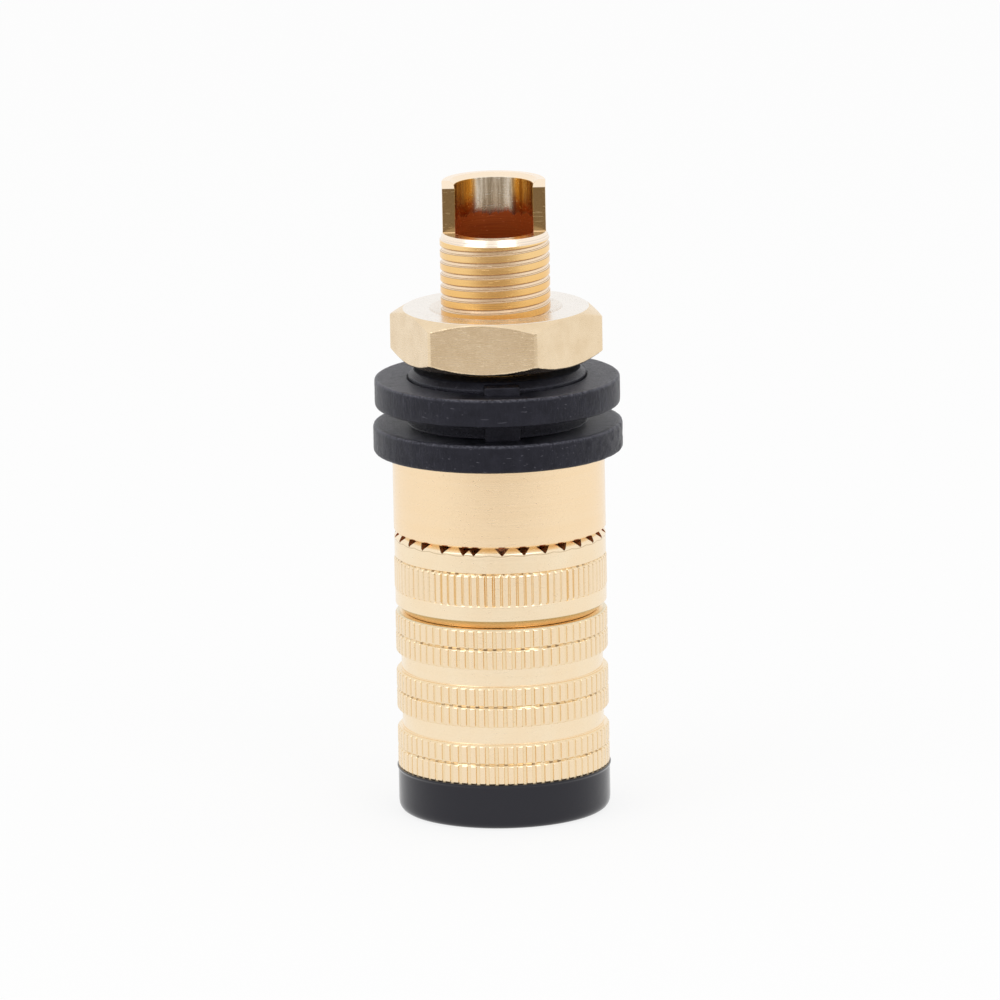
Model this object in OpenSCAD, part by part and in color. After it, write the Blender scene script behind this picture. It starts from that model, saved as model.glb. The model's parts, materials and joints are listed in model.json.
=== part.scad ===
// Panel binding post for a loudspeaker terminal: a turned post with a solder cup,
// a threaded stud with a hex nut, two keyed insulators, a serrated clamp ring and
// a knurled knob with an insulating cap. The post stands on its cap, solder cup up.
// Origin: centre of the cap's outer face. +Z runs along the post, towards the cup.
// The front of the part, where the key and the open side of the cup are, is -Y.

/* [Post] */
// Radius of the collar, the knob's bands and the cap, which all run flush
body_r = 9.65; // [9.2:0.05:10.5]
// Height of the collar
collar_h = 7.23; // [4:0.05:12]
// Radius over the crests of the rear stud's thread
stud_r = 4.98; // [4.5:0.02:5.4]
// Height of the rear stud above the collar
stud_h = 20.15; // [17.5:0.05:30]
// Axial height of the chamfer at the stud's end
stud_chamfer_h = 0.6; // [0.3:0.05:1.5]
// Outer radius of the solder cup
cup_r = 4.7; // [4.4:0.05:4.9]
// Radius of the solder cup's bore
cup_bore_r = 3.58; // [2.5:0.02:4]
// Height of the half-open cup above the stud
cup_h = 4.68; // [3:0.02:9]
// Depth of the bore below the top of the stud
cup_depth = 5.5; // [3:0.1:10]
// How far in front of the axis the cup's open side is milled away
cup_face_y = 0.6; // [0:0.05:1.5]
// Bevel at the top of the two milled faces
cup_bevel = 0.65; // [0.3:0.05:1]
// Chamfer inside the rim of the cup
cup_lead_in = 0.43; // [0.1:0.01:0.6]
// Radius over the crests of the front thread
front_r = 4; // [3.6:0.05:4.4]
// Radius of the banana socket
socket_r = 2.05; // [1.8:0.01:2.4]
// Depth of the banana socket
socket_depth = 16; // [8:0.1:17]
// How far the front end of the post lies behind the cap's outer face
socket_recess = 2.3; // [2:0.05:4]
// Chamfer at the front end of the post
front_chamfer = 0.5; // [0.2:0.05:0.8]
// Radius of the cross hole for bare wire
wire_hole_r = 2.1; // [1.5:0.05:2.3]
// Wall left between the wire hole and the collar
wire_hole_wall = 0.8; // [0.5:0.05:1]

/* [Nut] */
// Width across the flats
nut_af = 17; // [14:0.5:19]
// Height of the nut
nut_h = 4.73; // [3:0.01:7]
// Angle of the nut about the post
nut_turn = -10; // [-30:1:30]
// Angle of the chamfer on the nut's corners
nut_chamfer_angle = 30; // [15:1:40]
// How far inside the flats the chamfer starts
nut_chamfer_inset = 0.1; // [0.05:0.05:0.5]
// Radial width of the countersink round the thread
nut_sink = 1.05; // [0.4:0.05:1.4]
// Height of the nut above the end of the front insulator's boss
nut_lift = 0.8; // [0.1:0.05:3]

/* [Insulators] */
// Radius of the front insulator's flange
flange_r = 11.35; // [10.5:0.05:13]
// Thickness of the flange
flange_t = 2.58; // [1.5:0.02:4]
// How far the rear washer's rim lies inside the flange's rim
washer_inset = 0.19; // [0:0.01:0.6]
// Thickness of the rear washer
washer_t = 2.6; // [1.5:0.05:4]
// Rounding of the flange's and the washer's rims
rim_round = 0.35; // [0.1:0.05:0.6]
// Radius of the boss that lines the panel hole
boss_r = 8.08; // [7:0.02:9]
// Height of the boss above the flange
boss_h = 5.05; // [4.7:0.05:8]
// Chamfer at the end of the boss
boss_chamfer = 0.6; // [0.2:0.05:1]
// Width of the key on the boss
key_w = 3.2; // [2:0.1:5]
// How far the key stands out from the boss
key_out = 1; // [0.5:0.05:1.6]
// Angle of the key about the post, from the front
key_turn = 2.7; // [-10:0.1:10]
// Gap between the flange and the rear washer, where the panel goes
panel_gap = 1.6; // [0.5:0.05:2]

/* [Clamp ring] */
// How far the ring's plain bands lie inside the collar
ring_inset = 0.03; // [0:0.01:0.2]
// Height of the ring
ring_h = 7.52; // [7:0.02:9]
// Chamfer round the serrated face
ring_top_chamfer = 0.55; // [0.2:0.05:0.7]
// Chamfer on the side towards the knob
ring_low_chamfer = 0.8; // [0.3:0.05:0.9]
// Number of clamping notches across the face
notch_count = 30; // [20:1:36]
// Depth of the notches
notch_depth = 0.72; // [0.3:0.02:0.9]
// Angle between the two flanks of a notch
notch_angle = 90; // [60:1:100]
// Number of teeth in the ring's knurl
ring_teeth = 84; // [60:1:96]
// Height of the knurled band
ring_knurl_h = 3.06; // [1:0.02:3.4]
// Height of the plain band between the knurl and the knob
ring_low_band_h = 2.34; // [1.5:0.02:2.5]
// Depth of the ring's knurl below the plain bands
ring_knurl_depth = 0.2; // [0.1:0.01:0.4]
// How far the crests of the ring's knurl stand above the plain bands
ring_knurl_rise = 0.08; // [0.02:0.01:0.15]
// Share of the ring's knurl pitch that is flat crest
ring_crest_share = 0.62; // [0.3:0.02:0.7]
// Share of the ring's knurl pitch that is flat root
ring_root_share = 0.1; // [0.04:0.02:0.26]
// Angle of the ring's first tooth from the front
ring_knurl_turn = 2.4; // [0:0.1:5]

/* [Knob] */
// Depth of the plain grooves between the bands
groove_depth = 0.47; // [0.35:0.01:0.8]
// Height of one knurled band
band_h = 3.7; // [3:0.05:5]
// Height of one plain groove
groove_h = 1.66; // [1:0.02:3]
// Number of knurled bands
band_count = 3; // [2:1:4]
// Number of teeth round a band
knob_teeth = 70; // [50:1:80]
// Depth of the knurl
knurl_depth = 0.22; // [0.1:0.01:0.3]
// Share of the knob's knurl pitch that is flat crest
knob_crest_share = 0.56; // [0.3:0.02:0.64]
// Share of the knob's knurl pitch that is flat root
knob_root_share = 0.3; // [0.04:0.02:0.3]
// Angle of the knob's first tooth from the front
knob_knurl_turn = 3.6; // [0:0.1:5]
// Depth of the V groove that splits each band
split_depth = 0.33; // [0.1:0.01:0.4]
// Chamfer at the rear edge of each band
band_chamfer = 0.34; // [0.1:0.02:0.4]
// Radius of the sleeve that carries the clamp ring
sleeve_r = 5.2; // [4.8:0.05:6]
// How far the sleeve's rolled lip stands out
lip_out = 0.75; // [0.4:0.05:1]
// Thickness of the rolled lip
lip_t = 0.9; // [0.5:0.05:1.2]
// Radius of the spigot that the cap is pressed on
spigot_r = 7.5; // [6:0.1:8.3]

/* [End cap] */
// Height of the cap
cap_h = 4.2; // [3:0.05:7]
// Thickness of the cap's floor
cap_floor_t = 1.6; // [1:0.05:1.9]
// Rounding of the cap's lower edge
cap_round = 0.65; // [0.2:0.05:1]
// How far the lip next to the knob stands out
cap_lip = 0.1; // [0.05:0.01:0.3]
// Height of that lip
cap_lip_h = 0.3; // [0.1:0.05:0.6]
// Radius of the hole for the plug
cap_hole_r = 2.6; // [2.5:0.05:3.5]
// Chamfer round the plug hole
cap_hole_chamfer = 0.5; // [0.1:0.05:0.8]

/* [Fits] */
// Radial clearance of a running fit
run_fit = 0.05; // [0.02:0.01:0.1]
// Radial clearance of the plastic pieces
plastic_fit = 0.08; // [0.03:0.01:0.15]
// Axial gap between faces that bear on each other
seat_gap = 0.02; // [0.01:0.01:0.05]
// Axial play of the clamp ring under the rolled lip
ring_play = 0.1; // [0.05:0.01:0.3]
// How far the rolled lip lies below the serrated face
lip_recess = 0.2; // [0.1:0.05:0.5]

/* [Hidden] */
$fn = 96;
eps = 0.01;
drill_point_angle = 118;
edge_break = 0.12;

collar_r = body_r;
knob_r = body_r;
cap_r = body_r;
ring_r = body_r - ring_inset;
groove_r = knob_r - groove_depth;
washer_r = flange_r - washer_inset;
knob_body_h = band_count * band_h + (band_count - 1) * groove_h;
knob_top = cap_h + knob_body_h;
ring_bottom = knob_top + seat_gap;
ring_top = ring_bottom + ring_h;
collar_bottom = ring_top + seat_gap;
collar_top = collar_bottom + collar_h;
stud_top = collar_top + stud_h;
cup_top = stud_top + cup_h;
flange_top = collar_top + flange_t;
washer_bottom = flange_top + panel_gap;
boss_top = flange_top + boss_h;
nut_bottom = boss_top + nut_lift;
thread_bore_r = stud_r + run_fit;
front_bore_r = front_r + run_fit;
ring_bore_r = sleeve_r + run_fit;
lip_r = sleeve_r + lip_out;
lip_top = ring_top - lip_recess;
lip_seat = lip_top - lip_t - ring_play;
key_r = boss_r + key_out;

// Notches are cut by eye from the first one round: the last few miss their places by these angles
notch_phase = 0.9;
last_notch_slips = [1.9, 2.6, -3.5];

function notch_slip(i) =
    let (k = i - (notch_count - len(last_notch_slips)))
        k >= 0 ? last_notch_slips[k] : 0;

// Outline of a straight knurl: n teeth with flat crests and narrow flat roots
function knurl_outline(n, r, depth, crest_share, root_share) = [
    for (i = [0 : n - 1])
        for (p = [[-crest_share / 2, r], [crest_share / 2, r],
                  [0.5 - root_share / 2, r - depth], [0.5 + root_share / 2, r - depth]])
            let (a = 360 / n * (i + p[0]))
                [p[1] * cos(a), p[1] * sin(a)]
];

// A blind drilled hole that opens downwards at z = 0 and is as deep as depth
module drilled_hole(r, depth) {
    point_h = r / tan(drill_point_angle / 2);
    rotate_extrude() polygon([[0, -eps], [r, -eps], [r, depth], [0, depth + point_h]]);
}

module post_blank() {
    rotate_extrude()
        polygon([
            [0, socket_recess], [front_r - front_chamfer, socket_recess],
            [front_r, socket_recess + front_chamfer],
            [front_r, collar_bottom], [collar_r - edge_break, collar_bottom],
            [collar_r, collar_bottom + edge_break], [collar_r, collar_top - edge_break],
            [collar_r - edge_break, collar_top], [stud_r, collar_top],
            [stud_r, stud_top - stud_chamfer_h], [cup_r, stud_top], [cup_r, cup_top],
            [0, cup_top]
        ]);
}

// Everything in front of the milled faces, with the 45 degree bevel at their top
module cup_opening() {
    reach = 2 * cup_r;
    rotate([90, 0, 90])
        translate([0, 0, -reach])
            linear_extrude(height = 2 * reach)
                polygon([
                    [-reach, stud_top], [-cup_face_y, stud_top], [-cup_face_y, cup_top - cup_bevel],
                    [cup_bevel - cup_face_y + eps, cup_top + eps], [-reach, cup_top + eps]
                ]);
}

module terminal_post() {
    color("goldenrod")
        difference() {
            post_blank();
            cup_opening();
            translate([0, 0, cup_top])
                mirror([0, 0, 1]) drilled_hole(cup_bore_r, cup_h + cup_depth);
            translate([0, 0, cup_top - cup_lead_in])
                cylinder(r1 = cup_bore_r, r2 = cup_bore_r + cup_lead_in + eps,
                         h = cup_lead_in + eps);
            translate([0, 0, socket_recess]) drilled_hole(socket_r, socket_depth);
            translate([-2 * front_r, 0, collar_bottom - wire_hole_wall - wire_hole_r])
                rotate([0, 90, 0]) cylinder(r = wire_hole_r, h = 4 * front_r);
        }
}

module hex_nut() {
    corner_r = nut_af / 2 / cos(30);
    face_r = nut_af / 2 - nut_chamfer_inset;
    corner_drop = (corner_r - face_r) * tan(nut_chamfer_angle);
    color("palegoldenrod")
        translate([0, 0, nut_bottom])
            difference() {
                intersection() {
                    rotate([0, 0, nut_turn]) cylinder(r = corner_r, h = nut_h, $fn = 6);
                    rotate_extrude()
                        polygon([
                            [0, 0], [face_r, 0], [corner_r + eps, corner_drop + eps],
                            [corner_r + eps, nut_h - corner_drop - eps], [face_r, nut_h], [0, nut_h]
                        ]);
                }
                rotate_extrude()
                    polygon([
                        [0, -eps], [thread_bore_r + nut_sink / 2, -eps], [thread_bore_r, nut_sink / 2],
                        [thread_bore_r, nut_h - nut_sink], [thread_bore_r + nut_sink, nut_h + eps],
                        [0, nut_h + eps]
                    ]);
            }
}

// Disc with rounded rims
module rim_disc(r, t) {
    rotate_extrude()
        union() {
            square([r - rim_round, t]);
            translate([0, rim_round]) square([r, t - 2 * rim_round]);
            for (z = [rim_round, t - rim_round])
                translate([r - rim_round, z]) circle(r = rim_round, $fn = 32);
        }
}

// Bar on the front side of the post, from the axis out to radius r
module key_bar(r, w, h) {
    rotate([0, 0, key_turn - 90]) translate([0, -w / 2, 0]) cube([r, w, h]);
}

module rear_washer() {
    hole_r = boss_r + plastic_fit;
    color([0.16, 0.16, 0.18])
        translate([0, 0, washer_bottom])
            difference() {
                rim_disc(washer_r, washer_t);
                translate([0, 0, -eps]) cylinder(r = hole_r, h = washer_t + 2 * eps);
                translate([0, 0, -eps])
                    key_bar(key_r + plastic_fit, key_w + 2 * plastic_fit, washer_t + 2 * eps);
            }
}

module front_bushing() {
    color([0.14, 0.14, 0.16])
        translate([0, 0, collar_top])
            difference() {
                union() {
                    rim_disc(flange_r, flange_t);
                    rotate_extrude()
                        polygon([
                            [0, flange_t - eps], [boss_r, flange_t - eps],
                            [boss_r, flange_t + boss_h - boss_chamfer],
                            [boss_r - boss_chamfer, flange_t + boss_h], [0, flange_t + boss_h]
                        ]);
                    translate([0, 0, flange_t - eps])
                        key_bar(key_r, key_w, boss_h - boss_chamfer / 2);
                }
                translate([0, 0, -eps])
                    cylinder(r = stud_r + plastic_fit, h = flange_t + boss_h + 2 * eps);
            }
}

// One radial V notch, cut down from z = 0 and out past the rim
module notch(depth) {
    half_w = depth * tan(notch_angle / 2);
    rotate([90, 0, 90])
        linear_extrude(height = ring_r + depth)
            polygon([[-half_w - eps, eps], [0, -depth], [half_w + eps, eps]]);
}

// Knurled band from z = 0 up to h. Its ends are chamfered, and split is the depth of
// the V groove turned round its middle.
module knurled_band(n, r, depth, crest_share, root_share, h, low, high, split = 0) {
    mid = h / 2;
    ends = [[0, 0], [r - low, 0], [r, low]];
    groove = split > 0 ? [[r, mid - split], [r - split, mid], [r, mid + split]] : [];
    intersection() {
        linear_extrude(height = h) polygon(knurl_outline(n, r, depth, crest_share, root_share));
        rotate_extrude() polygon(concat(ends, groove, [[r, h - high], [r - high, h], [0, h]]));
    }
}

module clamp_ring() {
    knurl_bottom = ring_bottom + ring_low_band_h;
    knurl_top = knurl_bottom + ring_knurl_h;
    core_r = ring_r - ring_knurl_depth;
    color("gold")
        difference() {
            union() {
                rotate_extrude()
                    polygon([
                        [0, ring_bottom], [ring_r - ring_low_chamfer, ring_bottom],
                        [ring_r, ring_bottom + ring_low_chamfer], [ring_r, knurl_bottom],
                        [core_r, knurl_bottom], [core_r, knurl_top], [ring_r, knurl_top],
                        [ring_r, ring_top - ring_top_chamfer], [ring_r - ring_top_chamfer, ring_top],
                        [0, ring_top]
                    ]);
                translate([0, 0, knurl_bottom])
                    rotate([0, 0, ring_knurl_turn - 90])
                        knurled_band(ring_teeth, ring_r + ring_knurl_rise,
                                     ring_knurl_depth + ring_knurl_rise, ring_crest_share,
                                     ring_root_share, ring_knurl_h, ring_knurl_depth,
                                     ring_knurl_depth);
            }
            rotate_extrude()
                polygon([
                    [0, ring_bottom - eps], [ring_bore_r, ring_bottom - eps], [ring_bore_r, lip_seat],
                    [lip_r + run_fit, lip_seat], [lip_r + run_fit, ring_top + eps],
                    [0, ring_top + eps]
                ]);
            translate([0, 0, ring_top])
                for (i = [0 : notch_count - 1])
                    rotate([0, 0, notch_phase - 90 + notch_slip(i) + i * 360 / notch_count])
                        notch(notch_depth);
        }
}

module knob() {
    pitch = band_h + groove_h;
    color("gold")
        difference() {
            union() {
                rotate_extrude()
                    polygon([
                        [0, cap_floor_t + seat_gap], [spigot_r, cap_floor_t + seat_gap],
                        [spigot_r, cap_h], [groove_r, cap_h], [groove_r, knob_top],
                        [sleeve_r, knob_top], [sleeve_r, lip_top - lip_t], [lip_r, lip_top - lip_t],
                        [lip_r, lip_top], [0, lip_top]
                    ]);
                for (i = [0 : band_count - 1])
                    translate([0, 0, cap_h + i * pitch])
                        rotate([0, 0, knob_knurl_turn - 90])
                            knurled_band(knob_teeth, knob_r, knurl_depth, knob_crest_share,
                                         knob_root_share, band_h, edge_break, band_chamfer,
                                         split_depth);
            }
            translate([0, 0, cap_floor_t]) cylinder(r = front_bore_r, h = lip_top);
        }
}

module end_cap() {
    inner_r = spigot_r + plastic_fit;
    color([0.1, 0.1, 0.11])
        difference() {
            rotate_extrude()
                union() {
                    square([cap_r - cap_round, cap_h]);
                    translate([0, cap_round]) square([cap_r, cap_h - cap_round]);
                    translate([cap_r - cap_round, cap_round]) circle(r = cap_round, $fn = 32);
                    translate([0, cap_h - cap_lip_h]) square([cap_r + cap_lip, cap_lip_h]);
                }
            translate([0, 0, cap_floor_t]) cylinder(r = inner_r, h = cap_h);
            rotate_extrude()
                polygon([
                    [0, -eps], [cap_hole_r + cap_hole_chamfer + eps, -eps],
                    [cap_hole_r, cap_hole_chamfer], [cap_hole_r, cap_h], [0, cap_h]
                ]);
        }
}

terminal_post();
hex_nut();
rear_washer();
front_bushing();
clamp_ring();
knob();
end_cap();
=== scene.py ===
import bpy
import bmesh
import json
import math
import numpy as np
from mathutils import Matrix, Quaternion, Vector, noise

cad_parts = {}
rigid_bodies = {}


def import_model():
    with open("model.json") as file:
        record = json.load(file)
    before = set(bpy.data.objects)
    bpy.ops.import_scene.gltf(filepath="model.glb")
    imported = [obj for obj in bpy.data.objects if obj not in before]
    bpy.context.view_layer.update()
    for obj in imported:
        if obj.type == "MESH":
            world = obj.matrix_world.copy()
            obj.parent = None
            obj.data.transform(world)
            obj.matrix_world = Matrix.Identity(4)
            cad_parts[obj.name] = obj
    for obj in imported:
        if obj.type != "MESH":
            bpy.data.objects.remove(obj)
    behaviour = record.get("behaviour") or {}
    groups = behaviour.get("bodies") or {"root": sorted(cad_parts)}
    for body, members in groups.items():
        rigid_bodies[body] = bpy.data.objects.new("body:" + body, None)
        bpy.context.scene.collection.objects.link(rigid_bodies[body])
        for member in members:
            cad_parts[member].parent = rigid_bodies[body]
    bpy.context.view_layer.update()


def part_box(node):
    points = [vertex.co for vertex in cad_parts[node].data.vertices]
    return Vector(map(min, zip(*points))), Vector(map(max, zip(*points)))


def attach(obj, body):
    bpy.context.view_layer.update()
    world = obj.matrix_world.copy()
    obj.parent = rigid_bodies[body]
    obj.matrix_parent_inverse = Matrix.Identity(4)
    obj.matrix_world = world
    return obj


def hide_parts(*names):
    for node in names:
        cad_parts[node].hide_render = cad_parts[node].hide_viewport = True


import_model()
mm = 0.001

# Places along the post in millimetres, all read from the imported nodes
def nodeSpan(node):
    low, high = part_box(node)
    return low.z / mm, high.z / mm

def nodeRadius(node):
    low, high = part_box(node)
    return max(-low.x, high.x) / mm

capBottom, capTop = nodeSpan("end_cap")
knobBottom, knobLipTop = nodeSpan("knob")
ringBottom, ringTop = nodeSpan("clamp_ring")
postFront, cupTop = nodeSpan("terminal_post")
collarTop, bossTop = nodeSpan("front_bushing")
washerBottom, washerTop = nodeSpan("rear_washer")
nutBottom, nutTop = nodeSpan("hex_nut")
bodyRadius = nodeRadius("terminal_post")
# gap between faces that bear on each other
seatGap = 0.02
print("frame read: post", round(postFront, 2), "to", round(cupTop, 2), "mm")


# ---- mesh helpers ----

def addObject(name, data):
    piece = bpy.data.objects.new(name, data)
    bpy.context.scene.collection.objects.link(piece)
    return piece

def meshObject(name, points, faces):
    mesh = bpy.data.meshes.new(name)
    mesh.from_pydata([tuple(p * mm) for p in points], [], faces)
    mesh.update()
    return addObject(name, mesh)

def cleanMesh(mesh):
    weld = 2e-7
    work = bmesh.new()
    work.from_mesh(mesh)
    bmesh.ops.remove_doubles(work, verts=work.verts, dist=weld)
    bmesh.ops.dissolve_degenerate(work, dist=weld, edges=work.edges)
    bmesh.ops.recalc_face_normals(work, faces=work.faces)
    work.to_mesh(mesh)
    work.free()

def shadeByAngle(piece, degrees):
    work = bmesh.new()
    work.from_mesh(piece.data)
    limit = math.radians(degrees)
    for face in work.faces:
        face.smooth = True
    for edge in work.edges:
        edge.smooth = len(edge.link_faces) == 2 and edge.calc_face_angle(0) < limit
    work.to_mesh(piece.data)
    work.free()

def dressPiece(piece, degrees, material):
    # faces that meet at less than the angle shade as one surface
    cleanMesh(piece.data)
    shadeByAngle(piece, degrees)
    piece.data.materials.clear()
    piece.data.materials.append(material)
    for face in piece.data.polygons:
        face.material_index = 0

def gridFaces(rows, columns, closedRows=True, closedColumns=True):
    faces = []
    for i in range(rows if closedRows else rows - 1):
        j = (i + 1) % rows
        for k in range(columns if closedColumns else columns - 1):
            n = (k + 1) % columns
            faces.append((i * columns + k, i * columns + n, j * columns + n, j * columns + k))
    return faces

def softProfile(points, rounds, steps):
    # replaces each corner of a closed outline with a small arc of its own size
    count = len(points)
    outline = []
    for i in range(count):
        before, here, after = (np.array(points[k % count], float) for k in (i - 1, i, i + 1))
        toBefore, toAfter = before - here, after - here
        a, b = np.linalg.norm(toBefore), np.linalg.norm(toAfter)
        reach = min(rounds[i], 0.45 * a, 0.45 * b)
        start, end = here + toBefore / a * reach, here + toAfter / b * reach
        for k in range(steps + 1):
            t = k / steps
            outline.append(tuple((1 - t) ** 2 * start + 2 * t * (1 - t) * here + t * t * end))
    return outline

def splitLong(points, longest):
    result = []
    for here, after in zip(points, points[1:] + points[:1]):
        a, b = np.array(here, float), np.array(after, float)
        pieces = max(1, int(math.ceil(np.linalg.norm(b - a) / longest)))
        result += [tuple(a + (b - a) * k / pieces) for k in range(pieces)]
    return result

def latheObject(name, profile, columns, closed=True, change=None):
    # turns an outline of (radius, height) points about the post's axis
    profile = np.array(profile, float)
    angles = np.arange(columns) * 2 * math.pi / columns
    radius, angle = np.meshgrid(profile[:, 0], angles, indexing="ij")
    height = np.repeat(profile[:, 1][:, None], columns, axis=1)
    if change:
        radius, height = change(radius, height, angle)
    points = np.stack([radius * np.cos(angle), radius * np.sin(angle), height], -1).reshape(-1, 3)
    piece = meshObject(name, points, gridFaces(len(profile), columns, closedRows=closed))
    cleanMesh(piece.data)
    return piece

def prismObject(name, outline, axis, low, high):
    # outline is in the two other axes, in their order
    points = []
    for level in (low, high):
        for a, b in outline:
            points.append(np.array({"x": (level, a, b), "z": (a, b, level)}[axis], float))
    n = len(outline)
    faces = [tuple(range(n))[::-1], tuple(range(n, 2 * n))]
    faces += [(i, (i + 1) % n, n + (i + 1) % n, n + i) for i in range(n)]
    piece = meshObject(name, points, faces)
    cleanMesh(piece.data)
    return piece

def bakeStep(piece, step):
    # keeps the mesh that the modifier leaves
    bpy.context.view_layer.update()
    graph = bpy.context.evaluated_depsgraph_get()
    mesh = bpy.data.meshes.new_from_object(piece.evaluated_get(graph))
    piece.modifiers.remove(step)
    piece.data = mesh

def carve(piece, cutter, operation="DIFFERENCE"):
    step = piece.modifiers.new("carve", "BOOLEAN")
    step.operation, step.solver, step.object = operation, "MANIFOLD", cutter
    bakeStep(piece, step)
    bpy.data.objects.remove(cutter)


# ---- geometry node helpers ----

class Nodes:
    def add(self, kind, settings=None, **sockets):
        # a socket given as _2 is the node's third
        node = self.tree.nodes.new(kind)
        for key, value in (settings or {}).items():
            setattr(node, key, value)
        for key, value in sockets.items():
            socket = node.inputs[int(key[1:])] if key[0] == "_" else node.inputs[key]
            if isinstance(value, bpy.types.NodeSocket):
                self.tree.links.new(value, socket)
            else:
                socket.default_value = value
        return node

    def link(self, source, node, socket):
        self.tree.links.new(source, node.inputs[socket])

    def math(self, operation, a, b=0.0, c=None):
        third = {} if c is None else {"_2": c}
        return self.add("ShaderNodeMath", {"operation": operation}, _0=a, _1=b, **third).outputs[0]

class Tree(Nodes):
    def __init__(self, name, sizes):
        self.tree = bpy.data.node_groups.new(name, "GeometryNodeTree")
        face = self.tree.interface
        face.new_socket("Geometry", in_out="INPUT", socket_type="NodeSocketGeometry")
        self.ids = {}
        for label, kind in {**sizes, "Material": "Material"}.items():
            socket = face.new_socket(label, in_out="INPUT", socket_type="NodeSocket" + kind)
            self.ids[label] = socket.identifier
        face.new_socket("Geometry", in_out="OUTPUT", socket_type="NodeSocketGeometry")
        self.start = self.tree.nodes.new("NodeGroupInput")
        self.end = self.tree.nodes.new("NodeGroupOutput")

    def size(self, label):
        return self.start.outputs[label]

    def finish(self, geometry):
        real = self.add("GeometryNodeRealizeInstances", Geometry=geometry)
        merge = self.add("GeometryNodeMergeByDistance", Geometry=real.outputs[0], Distance=1e-6)
        paint = self.add("GeometryNodeSetMaterial", Geometry=merge.outputs[0],
                         Material=self.size("Material"))
        self.link(paint.outputs[0], self.end, 0)
        return self

def bakeTree(piece, tree, values):
    step = piece.modifiers.new("nodes", "NODES")
    step.node_group = tree.tree
    for label, value in values.items():
        step[tree.ids[label]] = value
    piece.update_tag()
    bakeStep(piece, step)

def sectorRingTree():
    # one sector of a turned and knurled piece, set all the way round the axis
    t = Tree("sectorRing", {"Sectors": "Int", "First angle": "Float"})
    spots = t.add("GeometryNodePoints", Count=t.size("Sectors"))
    index = t.add("GeometryNodeInputIndex").outputs[0]
    step = t.math("DIVIDE", 2 * math.pi, t.size("Sectors"))
    turn = t.math("MULTIPLY_ADD", index, step, t.size("First angle"))
    spin = t.add("ShaderNodeCombineXYZ", Z=turn)
    placed = t.add("GeometryNodeInstanceOnPoints", Points=spots.outputs[0],
                   Instance=t.start.outputs[0], Rotation=spin.outputs[0])
    return t.finish(placed.outputs[0])

def notchTree():
    # a V bar laid on every point of the base mesh, turned by that point's own angle
    t = Tree("notchBars", {"Depth": "Float", "Start": "Float", "Length": "Float"})
    side = t.math("MULTIPLY", t.size("Depth"), 2 * math.sqrt(2))
    size = t.add("ShaderNodeCombineXYZ", X=t.size("Length"), Y=side, Z=side)
    bar = t.add("GeometryNodeMeshCube", Size=size.outputs[0])
    middle = t.math("MULTIPLY_ADD", t.size("Length"), 0.5, t.size("Start"))
    push = t.add("ShaderNodeCombineXYZ", X=middle, Z=t.size("Depth"))
    onEdge = t.add("GeometryNodeTransform", Geometry=bar.outputs[0], Translation=push.outputs[0],
                   Rotation=(math.radians(45), 0, 0))
    angle = t.add("GeometryNodeInputNamedAttribute", {"data_type": "FLOAT"}, Name="turn")
    spin = t.add("ShaderNodeCombineXYZ", Z=angle.outputs[0])
    spots = t.add("GeometryNodeMeshToPoints", Mesh=t.start.outputs[0])
    placed = t.add("GeometryNodeInstanceOnPoints", Points=spots.outputs[0],
                   Instance=onEdge.outputs[0], Rotation=spin.outputs[0])
    return t.finish(placed.outputs[0])

def threadTree():
    # a trapezoid run along a helix: the shape that the threading tool takes away
    t = Tree("threadPath", {"Radius": "Float", "Pitch": "Float", "Turns": "Float",
                            "Steps per turn": "Int"})
    path = t.add("GeometryNodeCurveSpiral", Resolution=t.size("Steps per turn"),
                 Rotations=t.size("Turns"), Reverse=True,
                 Height=t.math("MULTIPLY", t.size("Pitch"), t.size("Turns")))
    for end in ("Start Radius", "End Radius"):
        t.link(t.size("Radius"), path, end)
    upright = t.add("GeometryNodeSetCurveNormal", {"mode": "Z_UP"}, Curve=path.outputs[0])
    outline = t.add("GeometryNodeMeshToCurve", Mesh=t.start.outputs[0])
    swept = t.add("GeometryNodeCurveToMesh", Curve=upright.outputs[0])
    t.link(outline.outputs[0], swept, "Profile Curve")
    swept.inputs["Fill Caps"].default_value = True
    return t.finish(swept.outputs[0])

sectorRing, notchBars, threadPath = sectorRingTree(), notchTree(), threadTree()
print("node trees built")


# ---- sizes, in millimetres and degrees ----

post = {"columns": 240, "cupHeight": 4.68, "cupRadius": 4.7, "boreRadius": 3.58, "boreDepth": 10.18,
        "leadIn": 0.43, "studRadius": 4.98, "studChamfer": 0.6, "faceY": -0.6, "faceBevel": 0.65,
        "frontRadius": 4.0, "frontChamfer": 0.5, "socketRadius": 2.05, "socketDepth": 16.0,
        "wireHoleRadius": 2.1, "wireHoleWall": 0.8, "edge": 0.12, "drillSlope": 0.6009}
rearThread = {"pitch": 1.08, "depth": 0.15, "width": 0.52, "root": 0.22, "start": 0.9,
              "turns": 18.6}
frontThread = {"pitch": 1.25, "depth": 0.5, "width": 1.05, "root": 0.2, "start": -1.0,
               "turns": 17.6}
ring = {"teeth": 84, "crest": 0.62, "root": 0.1, "turn": 2.4, "inset": 0.03, "topChamfer": 0.55,
        "lowChamfer": 0.8, "knurlHeight": 2.95, "lowBand": 2.1, "depth": 0.12, "rise": 0.05,
        "bore": 5.25, "counterbore": 6.0, "lipSeat": 1.2, "notches": 30, "notchDepth": 0.72,
        "notchTurn": 0.9, "slips": {27: 1.9, 28: 2.6, 29: -3.5}, "barStart": 5, "barLength": 6}
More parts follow.
